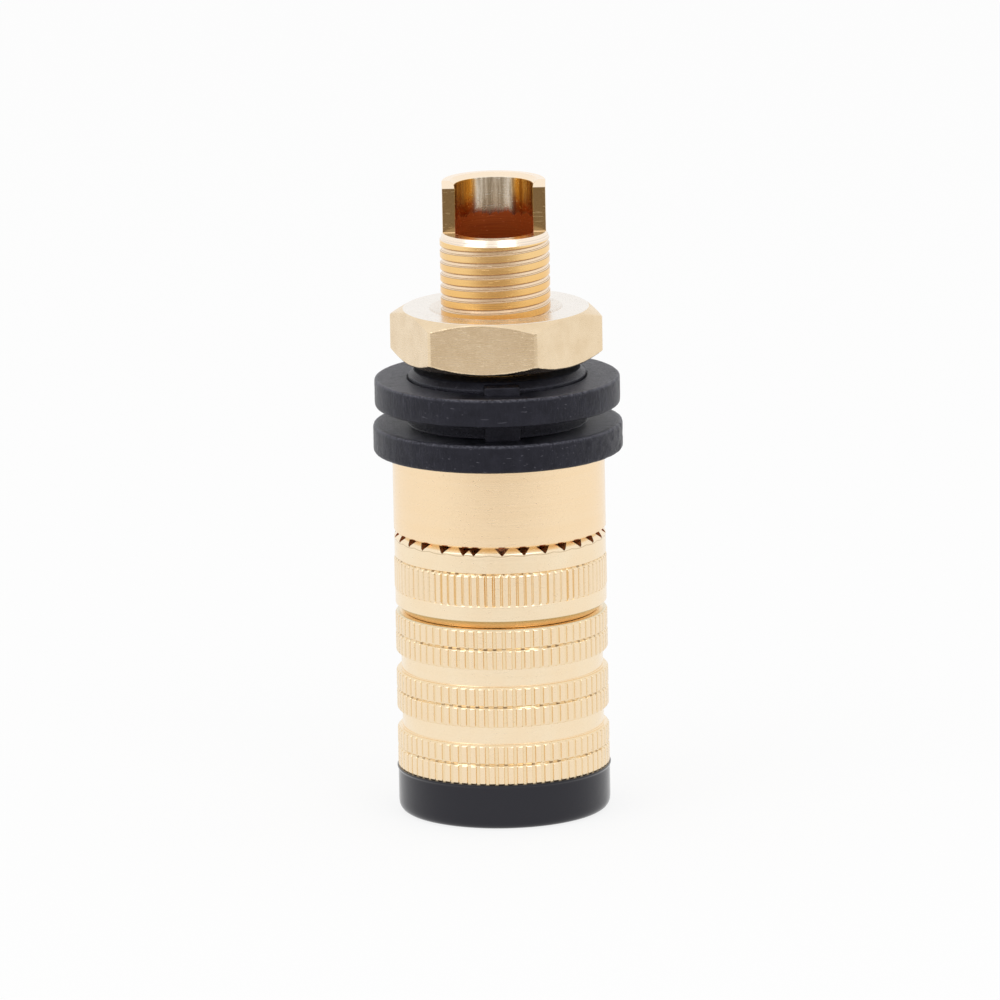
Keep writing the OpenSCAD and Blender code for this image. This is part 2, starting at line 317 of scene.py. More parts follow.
knob = {"teeth": 70, "crest": 0.56, "root": 0.3, "turn": 3.6, "bands": 3, "bandHeight": 3.7,
        "grooveHeight": 1.66, "grooveDepth": 0.47, "depth": 0.12, "split": 0.2, "topEdge": 0.2,
        "lowEdge": 0.1, "sleeve": 5.2, "lipOut": 0.75, "lipHeight": 0.9, "spigot": 7.5,
        "bore": 4.05}
insulator = {"columns": 288, "flangeThickness": 2.58, "boss": 8.08, "bossChamfer": 0.6,
             "keyStart": 6.5, "keyWidth": 3.2, "keyOut": 1.0, "keyTurn": 2.7, "fit": 0.08,
             "wrinkle": 0.06, "wrinkleReach": 1.5}
nut = {"acrossFlats": 17.0, "turn": -8.7, "chamferAngle": 30.0, "chamferInset": 0.1,
       "sink": 1.05, "bore": 5.03, "edge": 0.14, "cornerBreak": 0.09, "sideColumns": 36}
cap = {"columns": 256, "floor": 1.6, "lip": 0.1, "lipHeight": 0.3, "hole": 2.6,
       "holeChamfer": 0.5, "inner": 7.58}


# ---- materials ----

class Shading(Nodes):
    def group(self, tree, **values):
        return self.add("ShaderNodeGroup", {"node_tree": tree}, **values).outputs

    def times(self, first, *others):
        for other in others:
            first = self.math("MULTIPLY", first, other)
        return first

    def above(self, value, limit):
        return self.math("GREATER_THAN", value, limit)

    def below(self, value, limit):
        return self.math("LESS_THAN", value, limit)

    def between(self, value, low, high):
        return self.times(self.above(value, low), self.below(value, high))

    def near(self, value, middle, reach):
        return self.math("COMPARE", value, middle, reach)

    def length(self, x, y):
        return self.math("SQRT", self.math("ADD", self.times(x, x), self.times(y, y)))

    def ramp(self, value, low, high, start=0.0, end=1.0):
        return self.add("ShaderNodeMapRange", Value=value, _1=low, _2=high, _3=start,
                        _4=end).outputs[0]

    def noise(self, spot, scale, detail, roughness=0.5):
        return self.add("ShaderNodeTexNoise", Vector=spot, Scale=scale, Detail=detail,
                        Roughness=roughness).outputs[0]

    def blend(self, factor, a, b):
        return self.add("ShaderNodeMix", {"data_type": "RGBA"}, _0=factor, _6=a, _7=b).outputs[2]

    def tint(self, tone, shade, *masks):
        # moves the tone towards the shade where every mask is high
        return self.blend(self.times(*masks), tone, shade)

class Finish(Shading):
    def __init__(self, name):
        self.material = bpy.data.materials.new(name)
        self.material.use_nodes = True
        self.tree = self.material.node_tree
        self.tree.nodes.clear()
        self.out = self.tree.nodes.new("ShaderNodeOutputMaterial")

    def millimetres(self):
        coords = self.add("ShaderNodeTexCoord")
        scaled = self.add("ShaderNodeMapping", Vector=coords.outputs["Object"],
                          Scale=(1000, 1000, 1000))
        return scaled.outputs[0]

    def surface(self, tone, rough, height, relief, metalness=0.0):
        bump = self.add("ShaderNodeBump", Height=height, Strength=1.0, Distance=relief * mm)
        skin = self.add("ShaderNodeBsdfPrincipled", Roughness=rough, Normal=bump.outputs[0],
                        Metallic=metalness)
        self.link(tone, skin, "Base Color")
        self.link(skin.outputs[0], self.out, 0)
        return skin

class Place:
    # where the shaded point lies in millimetres, and its angle about the post
    def __init__(self, f):
        self.spot = f.millimetres()
        self.x, self.y, self.level = f.add("ShaderNodeSeparateXYZ", _0=self.spot).outputs
        self.radius = f.length(self.x, self.y)
        self.angle = f.math("ARCTAN2", self.y, self.x)

class ShadeGroup(Shading):
    def __init__(self, name, outputs, **inputs):
        self.tree = bpy.data.node_groups.new(name, "ShaderNodeTree")
        face = self.tree.interface
        face.new_socket("Vector", in_out="INPUT", socket_type="NodeSocketVector")
        for label, value in inputs.items():
            socket = face.new_socket(label, in_out="INPUT", socket_type="NodeSocketFloat")
            socket.default_value = value
        for label in outputs:
            face.new_socket(label, in_out="OUTPUT", socket_type="NodeSocketFloat")
        self.given = self.tree.nodes.new("NodeGroupInput").outputs
        self.end = self.tree.nodes.new("NodeGroupOutput")

def turningMarksGroup():
    # fine circular tool marks: they change with the radius and the height, hardly with the angle
    g = ShadeGroup("turningMarks", ["Height", "Tone"], Density=9.0, Drift=0.05)
    x, y, z = g.add("ShaderNodeSeparateXYZ", _0=g.given["Vector"]).outputs
    marks = g.add("ShaderNodeCombineXYZ", X=g.times(g.length(x, y), g.given["Density"]),
                  Y=g.times(g.math("ADD", x, y), g.given["Drift"]),
                  Z=g.times(z, g.given["Density"])).outputs[0]
    g.link(g.noise(marks, 1.0, 3.0), g.end, "Height")
    g.link(g.noise(marks, 0.17, 1.0), g.end, "Tone")
    return g.tree

def scratchesGroup():
    # thin straight and slightly bent scratches in two directions
    g = ShadeGroup("scratches", ["Mask"], Scale=1.0, Amount=0.5)
    bend = g.add("ShaderNodeTexNoise", Vector=g.given["Vector"], Scale=0.25)
    moved = g.add("ShaderNodeVectorMath", {"operation": "MULTIPLY_ADD"},
                  _0=bend.outputs["Color"], _1=(0.9, 0.9, 0.9), _2=g.given["Vector"])
    least = g.math("MULTIPLY_ADD", g.given["Amount"], -0.06, 0.735)
    masks = []
    for turn, stretch in (((0.5, 0.9, 0.3), (0.35, 9, 7)), ((1.2, 0.2, 2.1), (0.3, 7, 8))):
        laid = g.add("ShaderNodeMapping", Vector=moved.outputs[0], Rotation=turn, Scale=stretch)
        lines = g.noise(laid.outputs[0], g.given["Scale"], 1.0)
        masks.append(g.ramp(g.math("SUBTRACT", lines, least), 0.0, 0.03))
    g.link(g.math("MAXIMUM", *masks), g.end, "Mask")
    return g.tree

def specksGroup():
    # sparse small pits or grains of dust; Size is a share of Spacing
    g = ShadeGroup("specks", ["Mask"], Spacing=1.0, Size=0.1, Share=0.3)
    cells = g.add("ShaderNodeTexVoronoi", {"feature": "F1"}, Vector=g.given["Vector"],
                  Scale=g.math("DIVIDE", 1.0, g.given["Spacing"])).outputs
    pick = g.add("ShaderNodeSeparateColor", Color=cells["Color"]).outputs
    chosen = g.below(pick[0], g.given["Share"])
    size = g.times(g.given["Size"], g.math("MULTIPLY_ADD", pick[1], 0.8, 0.4))
    inside = g.ramp(cells["Distance"], 0.0, size, 1.0, 0.0)
    g.link(g.times(inside, chosen), g.end, "Mask")
    return g.tree

def mottleGroup():
    # slow changes of tone, as plating and handling leave them
    g = ShadeGroup("mottle", ["Tone"], Scale=0.4)
    cloud = g.noise(g.given["Vector"], g.given["Scale"], 4.0, 0.6)
    g.link(g.ramp(cloud, 0.3, 0.7), g.end, "Tone")
    return g.tree

turningMarks, scratches = turningMarksGroup(), scratchesGroup()
specks, mottle = specksGroup(), mottleGroup()

# relief is the depth of the surface's fine marks in millimetres
goldLook = {"color": (0.94, 0.78, 0.55, 1), "warm": (0.93, 0.70, 0.44, 1),
            "collar": (0.95, 0.71, 0.44, 1), "stud": (0.94, 0.60, 0.21, 1),
            "mark": (0.97, 0.84, 0.66, 1), "pit": (0.33, 0.17, 0.05, 1),
            "roughness": 0.2, "relief": 0.0022}
# valley, split and lowEdge hold painted shade and reflection; worn and burr are the teeth's own
# tone
knurlShades = {"valley": (0.86, 0.68, 0.38, 1), "worn": (0.88, 0.66, 0.42, 1),
               "burr": (0.42, 0.27, 0.12, 1), "split": (0.32, 0.2, 0.09, 1),
               "lowEdge": (0.76, 0.66, 0.46, 1)}
# a painted red-brown reflection on the notches' flanks, and a painted line of shade under the
# chamfer
notchShades = {"flank": (0.72, 0.27, 0.09, 1), "underline": (0.45, 0.3, 0.16, 1)}
# all painted light: reflection near the nut, highlights in the groove and on the rim, shade lines
# in the thread
studShades = {"nearNutReflection": (0.86, 0.47, 0.13, 1), "groove": (0.93, 0.77, 0.60, 1),
              "line": (0.30, 0.17, 0.08, 1), "rim": (0.97, 0.86, 0.74, 1)}
# the bore's colours are painted reflections; the milled faces are painted darker for the dark front
# they mirror
cupShades = {"side": (0.99, 0.66, 0.22, 1), "middle": (0.86, 0.80, 0.70, 1),
             "sideStreakReflection": (0.40, 0.18, 0.04, 1), "middleStreakReflection": (0.40, 0.34, 0.24, 1),
             "deepReflectionDark": (0.20, 0.025, 0.004, 1), "deepReflectionLight": (0.62, 0.15, 0.03, 1),
             "milledDark": (0.30, 0.21, 0.11, 1), "milledLight": (0.7, 0.55, 0.35, 1)}
# each dent is a place, up from the nut's lower face, and the reach of the damage
brassLook = {"color": (0.88, 0.71, 0.49, 1), "dull": (0.72, 0.54, 0.33, 1),
             "dent": (0.25, 0.18, 0.09, 1), "under": (0.3, 0.22, 0.12, 1),
             "top": (0.9, 0.89, 0.88, 1), "roughness": 0.27, "relief": 0.005,
             "dents": [((2.5, -8.6, 2.9), 1.1), ((3.0, -8.6, 1.9), 1.2), ((-2.5, -8.3, 3.2), 0.5),
                       ((-1.5, -8.4, 3.1), 0.5), ((-7.6, -5.0, 3.4), 0.4)]}
# the lighter greys serve wear and also painted sheen on the rims' and faces' sides
nylonLook = {"color": (0.003, 0.003, 0.0045, 1), "worn": (0.032, 0.032, 0.044, 1),
             "wearAndSheen": (0.16, 0.16, 0.19, 1), "chip": (0.17, 0.17, 0.2, 1),
             "roughness": 0.34, "relief": 0.06}
capLook = {"color": (0.003, 0.003, 0.0045, 1), "dust": (0.45, 0.45, 0.5, 1),
           "roughness": 0.13, "relief": 0.004}

def onBody(f, at):
    return f.above(at.radius, bodyRadius - 0.4)

def shadeKnurls(f, at, burrs, tone):
    # worn teeth with burrs; painted shade in the deep valleys and in broken dark lines where a band
    # is split or ends; a painted duller reflection on the lower chamfer
    shade, outside = knurlShades, onBody(f, at)
    lowKnurl = ringBottom + ring["lowBand"]
    topKnurl = lowKnurl + ring["knurlHeight"]
    knurled = f.between(at.level, lowKnurl, topKnurl)
    lines = f.near(at.level, topKnurl + 0.01, 0.07)
    for i in range(knob["bands"]):
        low = capTop + i * (knob["bandHeight"] + knob["grooveHeight"])
        band = f.between(at.level, low, low + knob["bandHeight"])
        knurled = f.math("MAXIMUM", knurled, band)
        middle = f.near(at.level, low + knob["bandHeight"] / 2, 0.08)
        lines = f.math("MAXIMUM", lines, middle)
    knurled = f.times(knurled, outside)
    tooth = f.math("SINE", f.math("MULTIPLY_ADD", at.angle, knob["teeth"],
                                  math.radians(90 - knob["turn"]) * knob["teeth"] - math.pi / 2))
    patchy = f.ramp(f.noise(at.spot, 0.9, 2.0), 0.42, 0.6)
    # painted shade: the deep valleys between the teeth are tinted darker
    tone = f.tint(tone, shade["valley"], knurled, f.below(at.radius, bodyRadius - 0.07), 0.45)
    tone = f.tint(tone, shade["worn"], knurled, 0.3)
    tone = f.tint(tone, shade["burr"], knurled, burrs, 0.6)
    # painted shade: broken dark lines in each split and at the ring knurl's upper end
    tone = f.tint(tone, shade["split"], lines, outside, patchy, f.ramp(tooth, -0.1, 0.5), 0.75)
    # painted reflection: the ring's lower chamfer is given a duller tone for what it mirrors
    lowEdge = f.between(at.level, ringBottom - 0.1, ringBottom + ring["lowChamfer"])
    return f.tint(tone, shade["lowEdge"], lowEdge, outside, 0.8)

def shadeNotches(f, at, tone):
    # the notches' flanks lie inside the cone of the ring's chamfer
    chamferLow = ringTop - ring["topChamfer"]
    overChamfer = f.math("MAXIMUM", f.math("SUBTRACT", at.level, chamferLow), 0.0)
    flank = f.times(f.between(at.level, ringTop - ring["notchDepth"] - 0.05, ringTop - 0.02),
                    f.below(f.math("ADD", at.radius, overChamfer),
                            bodyRadius - ring["inset"] - 0.06),
                    f.above(at.radius, ring["counterbore"]))
    # painted reflection: the flanks hold the red-brown of gold mirroring gold
    tone = f.tint(tone, notchShades["flank"], flank)
    # painted shade: a dark scalloped line under the top chamfer
    wave = f.math("ABSOLUTE", f.math("SINE", f.times(at.angle, ring["notches"] / 2)))
    scallop = f.math("MULTIPLY_ADD", wave, -0.12, chamferLow - 0.1)
    underline = f.near(at.level, scallop, 0.04)
    return f.tint(tone, notchShades["underline"], underline, onBody(f, at), 0.5), flank

def shadeStud(f, at, tone):
    # a painted highlight in the groove with painted shade lines at its lips and root, a painted
    # reflection of deeper gold towards the nut, and painted highlights on the rim and shoulder
    shade, studR = studShades, post["studRadius"]
    studTop = cupTop - post["cupHeight"]
    onThread = f.times(f.between(at.level, collarTop, studTop), f.above(at.radius, studR - 0.3))
    low = f.ramp(at.level, nutTop + 6, nutTop + 1)
    # painted reflection: the thread turns a deeper gold towards the nut
    tone = f.tint(tone, shade["nearNutReflection"], onThread, low, 0.7)
    # painted highlight: the thread's groove is tinted pale
    tone = f.tint(tone, shade["groove"], onThread, f.below(at.radius, studR - 0.015), 0.75)
    # painted shade: dark lines at the groove's lips and root
    lips = f.near(at.radius, studR - 0.035, 0.025)
    root = f.near(at.radius, studR - rearThread["depth"] + 0.02, 0.02)
    tone = f.tint(tone, shade["line"], onThread, f.math("MAXIMUM", lips, root), 0.7)
    # painted highlight: the cup's rim and the stud's shoulder are tinted pale
    rim = f.above(at.level, cupTop - post["faceBevel"])
    shoulder = f.near(at.level, studTop - 0.3, 0.32)
    return f.tint(tone, shade["rim"], f.math("MAXIMUM", rim, shoulder), 0.75)

def shadeCup(f, at, burrs, tone):
    # the cup's bore: painted reflections, streaked gold above and red-brown below; then its two
    # milled faces
    shade, boreR = cupShades, post["boreRadius"]
    bore = f.times(f.below(at.radius, boreR + 0.03), f.above(at.level, nutTop - 3))
    around = f.add("ShaderNodeCombineXYZ", X=f.times(at.angle, 7.0), Y=f.times(at.level, 0.12))
    streaks = f.noise(around.outputs[0], 1.0, 4.0, 0.7)
    middle = f.ramp(f.math("ABSOLUTE", f.math("ARCTAN2", at.x, at.y)), 0.62, 0.5)
    # painted reflection: pale at the back and orange to the sides, with streaks
    tone = f.tint(tone, f.blend(middle, shade["side"], shade["middle"]), bore)
    tone = f.tint(tone, f.blend(middle, shade["sideStreakReflection"], shade["middleStreakReflection"]), bore,
                  f.ramp(streaks, 0.42, 0.58), 0.7)
    # painted reflection: red-brown low in the bore, where gold mirrors gold
    ragged = f.math("ADD", at.level, f.math("MULTIPLY_ADD", streaks, 1.6, -0.8))
    deep = f.times(bore, f.ramp(ragged, cupTop - 3.7, cupTop - 3.2, 1.0, 0.0))
    rings = f.group(turningMarks, Vector=at.spot, Density=14.0, Drift=0.2)["Height"]
    tone = f.tint(tone, f.blend(rings, shade["deepReflectionDark"], shade["deepReflectionLight"]), deep)
    # painted reflection: the milled faces are darkened for the dark front they mirror, with specks
    # from the burrs
    milled = f.times(f.above(at.level, cupTop - post["cupHeight"] + 0.05),
                     f.near(at.y, post["faceY"], 0.03), f.above(at.radius, boreR + 0.02))
    tone = f.tint(tone, f.blend(burrs, shade["milledDark"], shade["milledLight"]), milled, 0.85)
    return tone, deep

def goldMaterial():
    look = goldLook
    f = Finish("goldPlate")
    at = Place(f)
    marks = f.group(turningMarks, Vector=at.spot, Density=9.0, Drift=0.06)
    cuts = f.group(scratches, Vector=at.spot, Scale=0.9, Amount=0.5)[0]
    pits = f.group(specks, Vector=at.spot, Spacing=1.3, Size=0.06, Share=0.25)[0]
    burrs = f.group(specks, Vector=at.spot, Spacing=0.4, Size=0.07, Share=0.4)[0]
    cloud = f.group(mottle, Vector=at.spot, Scale=0.35)[0]
    tone = f.tint(look["color"], look["warm"], cloud, 0.45)
    tone = f.tint(tone, look["collar"], f.ramp(at.level, ringTop, ringTop + 0.1), 0.8)
    tone = f.tint(tone, look["stud"], f.ramp(at.level, collarTop, collarTop + 0.1), 0.85)
    tone = f.tint(tone, look["mark"], marks["Tone"], 0.2)
    tone = f.tint(tone, look["pit"], pits, 0.75)
    tone = shadeKnurls(f, at, burrs, tone)
    tone, flank = shadeNotches(f, at, tone)
    tone = shadeStud(f, at, tone)
    tone, deep = shadeCup(f, at, burrs, tone)
    # the places painted red-brown for reflection are only partly metal
    plain = f.math("MAXIMUM", f.times(flank, 0.3), f.times(f.math("POWER", deep, 4.0), 0.6))
    rough = f.math("MULTIPLY_ADD", marks["Height"], 0.1, look["roughness"] - 0.05)
    rough = f.math("ADD", rough, f.times(cuts, 0.12))
    height = f.math("SUBTRACT", marks["Height"], f.times(cuts, 1.2))
    height = f.math("SUBTRACT", height, f.times(pits, 2.0))
    f.surface(tone, rough, height, look["relief"], f.math("SUBTRACT", 1.0, plain))
    return f.material

def brassMaterial():
    look = brassLook
    f = Finish("nutBrass")
    at = Place(f)
    cloud = f.group(mottle, Vector=at.spot, Scale=0.6)[0]
    cuts = f.group(scratches, Vector=at.spot, Scale=1.4, Amount=0.6)[0]
    battered = 0.0
    for (x, y, rise), reach in look["dents"]:
        away = f.add("ShaderNodeVectorMath", {"operation": "DISTANCE"}, _0=at.spot,
                     _1=(x, y, nutBottom + rise)).outputs["Value"]
        battered = f.math("MAXIMUM", battered, f.ramp(away, reach * 0.4, reach, 1.0, 0.0))
    dents = f.group(specks, Vector=at.spot, Spacing=0.55, Size=0.17,
                    Share=f.math("MULTIPLY_ADD", battered, 0.8, 0.03))[0]
    streak = f.add("ShaderNodeMapping", Vector=at.spot, Scale=(0.7, 0.7, 14))
    milled = f.noise(streak.outputs[0], 1.0, 4.0)
    # painted reflection: the top face and the countersink are tinted pale grey
    sunk = f.times(f.below(at.radius, nut["bore"] + nut["sink"] + 0.02),
                   f.above(at.level, nutTop - nut["sink"]))
    topReflection = f.math("MAXIMUM", f.above(at.level, nutTop - 0.03), sunk)
    tone = f.tint(look["color"], look["dull"], cloud, 0.5)
    tone = f.tint(tone, look["dent"], dents, 0.45)
    # painted shade: the nut's lower face is darkened
    tone = f.tint(tone, look["under"], f.below(at.level, nutBottom + 0.03))
    tone = f.tint(tone, look["top"], topReflection, 0.75)
    rough = f.math("MULTIPLY_ADD", milled, 0.18, look["roughness"] - 0.1)
    height = f.math("SUBTRACT", f.times(milled, 0.28), f.times(dents, 9.0))
    height = f.math("SUBTRACT", height, f.times(cuts, 0.7))
    f.surface(tone, rough, height, look["relief"], 1.0)
    return f.material

def nylonMaterial():
    look, p = nylonLook, insulator
    f = Finish("blackNylon")
    at = Place(f)
    flangeR, washerR = nodeRadius("front_bushing"), nodeRadius("rear_washer")
    around, aside = f.times(at.angle, flangeR), f.math("ABSOLUTE", at.x)
    chips = f.group(specks, Vector=at.spot, Spacing=0.8, Size=0.09, Share=0.3)[0]
    cuts = f.group(scratches, Vector=at.spot, Scale=0.8, Amount=0.1)[0]
    cloud = f.group(mottle, Vector=at.spot, Scale=0.7)[0]
    grain = f.noise(at.spot, 5.0, 5.0, 0.7)
    # fine lines up the rims, and creases across the faces
    up = f.add("ShaderNodeCombineXYZ", X=f.times(around, 7.0), Y=f.times(at.level, 0.9),
               Z=f.times(at.radius, 1.5))
    drag = f.noise(up.outputs[0], 1.0, 4.0, 0.65)
    across = f.add("ShaderNodeCombineXYZ", X=f.times(around, 1.3), Y=f.times(at.radius, 0.5),
                   Z=f.times(at.level, 1.5))
    crease = f.noise(across.outputs[0], 1.0, 6.0, 0.75)
    tone = f.tint(look["color"], look["worn"], cloud, 0.3)
    # painted sheen: the streaks up the rims are lighter towards the left and right
    flank = f.math("MULTIPLY_ADD", f.ramp(aside, 3.5, 9.5), 1.4, 0.25)
    tone = f.tint(tone, look["worn"], f.ramp(drag, 0.52, 0.78), flank)
    # the rims' top outer edges: wear, with a painted highlight along the rounding
    edges = 0.0
    for top, rimR in ((washerTop, washerR), (collarTop + p["flangeThickness"], flangeR)):
        edge = f.times(f.ramp(at.level, top - 0.3, top - 0.08), f.below(at.level, top + 0.05),
                       f.ramp(at.radius, rimR - 0.4, rimR - 0.2))
        edges = f.math("MAXIMUM", edges, edge)
    tone = f.tint(tone, look["wearAndSheen"], edges, f.ramp(grain, 0.42, 0.6), 0.6)
    # painted light: the faces' creases are lighter towards the left and right, the middle kept dark
    # as shade
    onFace = f.between(at.radius, p["boss"] + 0.05, washerR - 0.3)
    onSides = f.times(onFace, f.ramp(aside, 3.0, 7.0))
    tone = f.tint(tone, look["wearAndSheen"], onSides, crease, 0.9)
    marks = f.math("MAXIMUM", f.times(chips, 0.6), f.times(cuts, 0.35))
    tone = f.tint(tone, look["chip"], marks)
    onBoss = f.times(f.below(at.radius, p["boss"] + 0.05),
                     f.below(at.level, bossTop - p["bossChamfer"] + 0.05))
    onEnd = f.times(f.below(at.radius, p["boss"]), f.above(at.level, bossTop - 0.1))
    rough = f.math("MULTIPLY_ADD", grain, 0.3, look["roughness"] - 0.15)
    rough = f.math("SUBTRACT", rough, f.times(onBoss, 0.2))
    rough = f.math("ADD", rough, f.times(onEnd, 0.4))
    height = f.math("ADD", f.times(grain, 0.5), f.times(drag, 0.6))
    ridges = f.times(f.math("ABSOLUTE", f.math("SUBTRACT", crease, 0.5)),
                     f.math("MULTIPLY_ADD", onSides, 22.0, 2.0))
    height = f.math("ADD", f.math("ADD", height, ridges), f.times(chips, 0.7))
    skin = f.surface(tone, rough, height, look["relief"])
    skin.inputs["Specular IOR Level"].default_value = 0.3
    skin.inputs["Specular Tint"].default_value = (0.8, 0.8, 1, 1)
    return f.material

def capMaterial():
    look = capLook
    f = Finish("capPlastic")
    spot = f.millimetres()
    dust = f.group(specks, Vector=spot, Spacing=1.7, Size=0.07, Share=0.22)[0]
    cuts = f.group(scratches, Vector=spot, Scale=0.8, Amount=0.3)[0]
    tone = f.tint(look["color"], look["dust"], dust, 0.5)
    rough = f.math("MULTIPLY_ADD", cuts, 0.12, look["roughness"])
    height = f.math("ADD", f.times(f.noise(spot, 0.5, 2.0), 4.0), dust)
    skin = f.surface(tone, rough, height, look["relief"])
    skin.inputs["Specular Tint"].default_value = (0.9, 0.89, 1, 1)
    return f.material

gold, brass = goldMaterial(), brassMaterial()
nylon, glossy = nylonMaterial(), capMaterial()
print("materials built")


# ---- terminal post ----

def threadCutter(name, thread, radius, bottom):
    # outline of the groove: y is up the post, x goes outwards and past the crest
    past = 0.3
    depth, wide, root = thread["depth"], thread["width"] / 2, thread["root"] / 2
    slope = (wide - root) / depth
    outline = [(-depth, -root), (past, -wide - past * slope), (past, wide + past * slope),
               (-depth, root)]
    base = meshObject(name, [np.array([x, y, 0.0]) for x, y in outline], [])
    work = bmesh.new()
    work.from_mesh(base.data)
    work.verts.ensure_lookup_table()
    for i in range(4):
        work.edges.new((work.verts[i], work.verts[(i + 1) % 4]))
    work.to_mesh(base.data)
    work.free()
    bakeTree(base, threadPath, {"Radius": radius * mm, "Pitch": thread["pitch"] * mm,
                                "Turns": thread["turns"], "Steps per turn": 120,
                                "Material": gold})
    base.data.transform(Matrix.Translation((0, 0, (bottom + thread["start"]) * mm)))
    cleanMesh(base.data)
    return base

def buildPost():
    p = post
    studTop = cupTop - p["cupHeight"]
    collarBottom = ringTop + seatGap
    boreFloor = cupTop - p["boreDepth"]
    e = p["edge"]
    outline = [
        (0, boreFloor - p["boreRadius"] * p["drillSlope"]), (p["boreRadius"], boreFloor),
        (p["boreRadius"], cupTop - p["leadIn"]), (p["boreRadius"] + p["leadIn"], cupTop),
        (p["cupRadius"] - 0.05, cupTop), (p["cupRadius"], cupTop - 0.05),
        (p["cupRadius"], studTop), (p["studRadius"], studTop - p["studChamfer"]),
        (p["studRadius"], collarTop), (bodyRadius - e, collarTop), (bodyRadius, collarTop - e),
        (bodyRadius, collarBottom + e), (bodyRadius - e, collarBottom),
        (p["frontRadius"], collarBottom), (p["frontRadius"], postFront + p["frontChamfer"]),
        (p["frontRadius"] - p["frontChamfer"], postFront), (p["socketRadius"] + 0.15, postFront),
        (p["socketRadius"], postFront + 0.15), (p["socketRadius"], postFront + p["socketDepth"]),
        (0, postFront + p["socketDepth"] + p["socketRadius"] * p["drillSlope"])]
    piece = latheObject("terminalPost", outline, p["columns"], closed=False)
    carve(piece, threadCutter("rearThread", rearThread, p["studRadius"], collarTop))
    carve(piece, threadCutter("frontThread", frontThread, p["frontRadius"], postFront))
    reach = 2 * p["cupRadius"]
    y, b = p["faceY"], p["faceBevel"]
    opening = prismObject("cupOpening", [(-reach, studTop), (y, studTop), (y, cupTop - b),
                                         (y + b + 0.5, cupTop + 0.5), (-reach, cupTop + 0.5)],
                          "x", -reach, reach)
    carve(piece, opening)
    hole = p["wireHoleRadius"]
    holeZ = collarBottom - p["wireHoleWall"] - hole
    circle = [(hole * math.cos(a), holeZ + hole * math.sin(a))
              for a in np.linspace(0, 2 * math.pi, 64, endpoint=False)]
    carve(piece, prismObject("wireHole", circle, "x", -reach, reach))
    dressPiece(piece, 24, gold)
    return piece

terminalPost = buildPost()
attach(terminalPost, "terminal")
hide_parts("terminal_post")
print("terminal post:", len(terminalPost.data.polygons), "faces")


# ---- knurled pieces ----

def holdRows(rows):
    # extra rows near the ends of long faces keep their shading flat
    longest, edge = 0.3, 0.05
    held = []
    for here, after in zip(rows, rows[1:] + rows[:1]):
        held.append(here)
        a, b = np.array(here, float), np.array(after, float)
        length = np.linalg.norm((b - a)[[0, 2]])
        if length > longest:
            held += [tuple(a + (b - a) * edge / length), tuple(b - (b - a) * edge / length)]
    return held

def knurlSector(name, rows, teeth, crest, root):
    # one tooth wide: rows hold (radius at the crest, radius at the root, height)
    rows = holdRows(rows)
    soft = 0.04
    shares = [-0.5, -0.5 + root / 2, -crest / 2, -crest / 2 + soft, 0,
              crest / 2 - soft, crest / 2, 0.5 - root / 2, 0.5]
    raised = [0, 0, 0.9, 1, 1, 1, 0.9, 0, 0]
    pitch = 2 * math.pi / teeth
    points = []
    for crestR, rootR, z in rows:
        for share, lift in zip(shares, raised):
            r = rootR + (crestR - rootR) * lift
            a = share * pitch
            points.append(np.array([r * math.cos(a), r * math.sin(a), z]))
    return meshObject(name, points, gridFaces(len(rows), len(shares), closedColumns=False))

def plainRows(points):
    return [(r, r, z) for r, z in points]

def roughenTeeth(piece, teeth, first, radius, low, high, seed):
    # every valley is pressed a little differently, and no crest is quite straight
    chance = np.random.default_rng(seed)
    deep = chance.uniform(-0.03, 0.05, teeth)
    run = chance.uniform(-0.03, 0.03, teeth)
    mesh = piece.data
    co = np.zeros(len(mesh.vertices) * 3)
    mesh.vertices.foreach_get("co", co)
    co = co.reshape(-1, 3) / mm
    r = np.hypot(co[:, 0], co[:, 1])
    angle = np.arctan2(co[:, 1], co[:, 0])
    share = ((angle - first) / (2 * math.pi / teeth)) % teeth
    valley = np.floor(share).astype(int) % teeth
    inBand = (co[:, 2] > low) & (co[:, 2] < high)
    isValley = inBand & (r < radius - 0.05)
    change = np.where(isValley, -deep[valley], 0)
    co[:, :2] *= ((r + change) / np.maximum(r, 1e-6))[:, None]
    co[:, 2] += np.where(isValley, run[valley] * 0.5, 0)
    mesh.vertices.foreach_set("co", (co * mm).reshape(-1))
    mesh.update()

